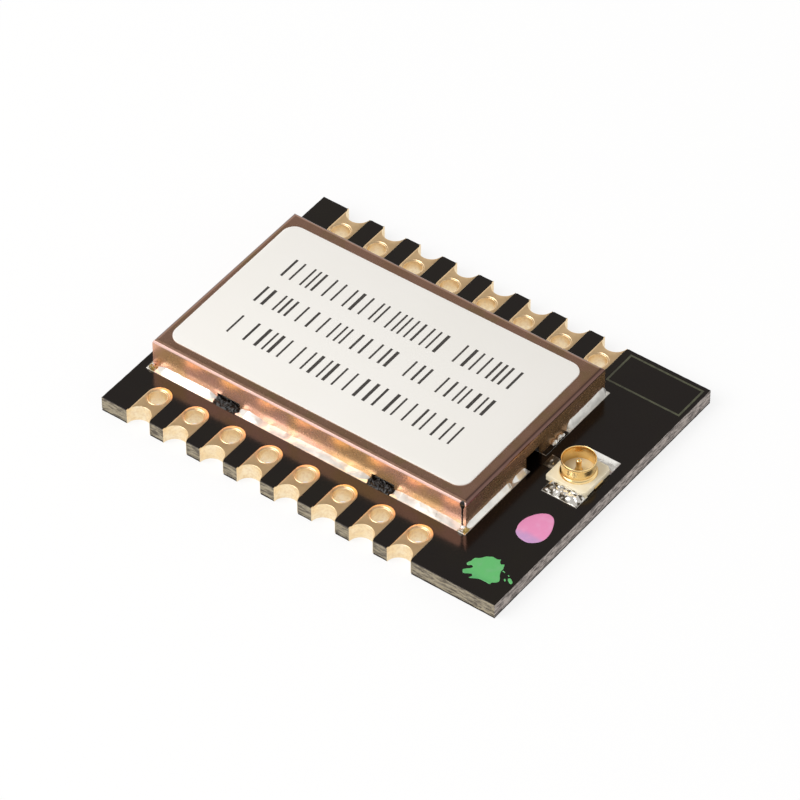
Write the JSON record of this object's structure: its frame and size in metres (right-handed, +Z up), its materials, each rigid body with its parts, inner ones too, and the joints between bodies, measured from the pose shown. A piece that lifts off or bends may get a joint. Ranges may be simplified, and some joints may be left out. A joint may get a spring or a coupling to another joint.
{
  "type": "castellated radio module",
  "caption": "Small black radio circuit module with plated castellated edges, a labelled shield can and a micro coax jack.",
  "frame": {"origin": "middle of the board's underside", "axes": "+Z up out of the board's top, +X along the board towards the coax jack, near castellation row at -Y"},
  "size_m": [0.0266, 0.0204, 0.003],
  "materials": {
    "laminate": "glass-fibre laminate, cut edge",
    "solder_mask": "glossy black solder resist",
    "gold_plate": "gold plate over copper",
    "shield_metal": "tarnished nickel silver sheet",
    "solder": "bright solder",
    "label_paper": "white label film",
    "jack_gold": "gold plated contact",
    "jack_moulding": "ivory moulding",
    "pink_ink": "pink marker ink",
    "green_ink": "green marker ink",
    "chip_black": "black chip pack",
    "crystal_lid": "plated lid",
    "ceramic": "ceramic chip part",
    "label_print": "dark print on the label",
    "board_print": "dark olive marking on the resist",
    "flux": "dark flux residue"
  },
  "bodies": {
    "root": {"board_laminate": "laminate", "capacitor_1": "ceramic", "capacitor_2": "ceramic", "capacitor_3": "ceramic", "capacitor_4": "ceramic", "capacitor_5": "ceramic", "capacitor_6": "ceramic", "castellation_far_1": "gold_plate", "castellation_far_2": "gold_plate", "castellation_far_3": "gold_plate", "castellation_far_4": "gold_plate", "castellation_far_5": "gold_plate", "castellation_far_6": "gold_plate", "castellation_far_7": "gold_plate", "castellation_far_8": "gold_plate", "castellation_near_1": "gold_plate", "castellation_near_2": "gold_plate", "castellation_near_3": "gold_plate", "castellation_near_4": "gold_plate", "castellation_near_5": "gold_plate", "castellation_near_6": "gold_plate", "castellation_near_7": "gold_plate", "castellation_near_8": "gold_plate", "coax_ground_land_far": "solder", "coax_ground_land_near": "solder", "coax_housing": "jack_moulding", "coax_post": "jack_gold", "coax_ring": "jack_gold", "coax_signal_land": "solder", "coax_solder_far": "solder", "coax_solder_near": "solder", "coax_solder_signal": "solder", "coil_1": "ceramic", "coil_2": "ceramic", "coil_3": "ceramic", "crystal": "crystal_lid", "green_ink_mark": "green_ink", "label": "label_paper", "pink_ink_mark": "pink_ink", "radio_chip": "chip_black", "resistor_1": "ceramic", "resistor_2": "ceramic", "shield_can": "shield_metal", "shield_land": "gold_plate", "shield_solder_far_1": "solder", "shield_solder_far_2": "solder", "shield_solder_far_3": "solder", "shield_solder_front_far": "solder", "shield_solder_front_middle": "solder", "shield_solder_front_near": "solder", "shield_solder_near_1": "solder", "shield_solder_near_2": "solder", "shield_solder_near_3": "solder", "shield_solder_rear": "solder", "solder_mask_bottom": "solder_mask", "solder_mask_top": "solder_mask", "supply_choke": "ceramic"}
  },
  "joints": []
}
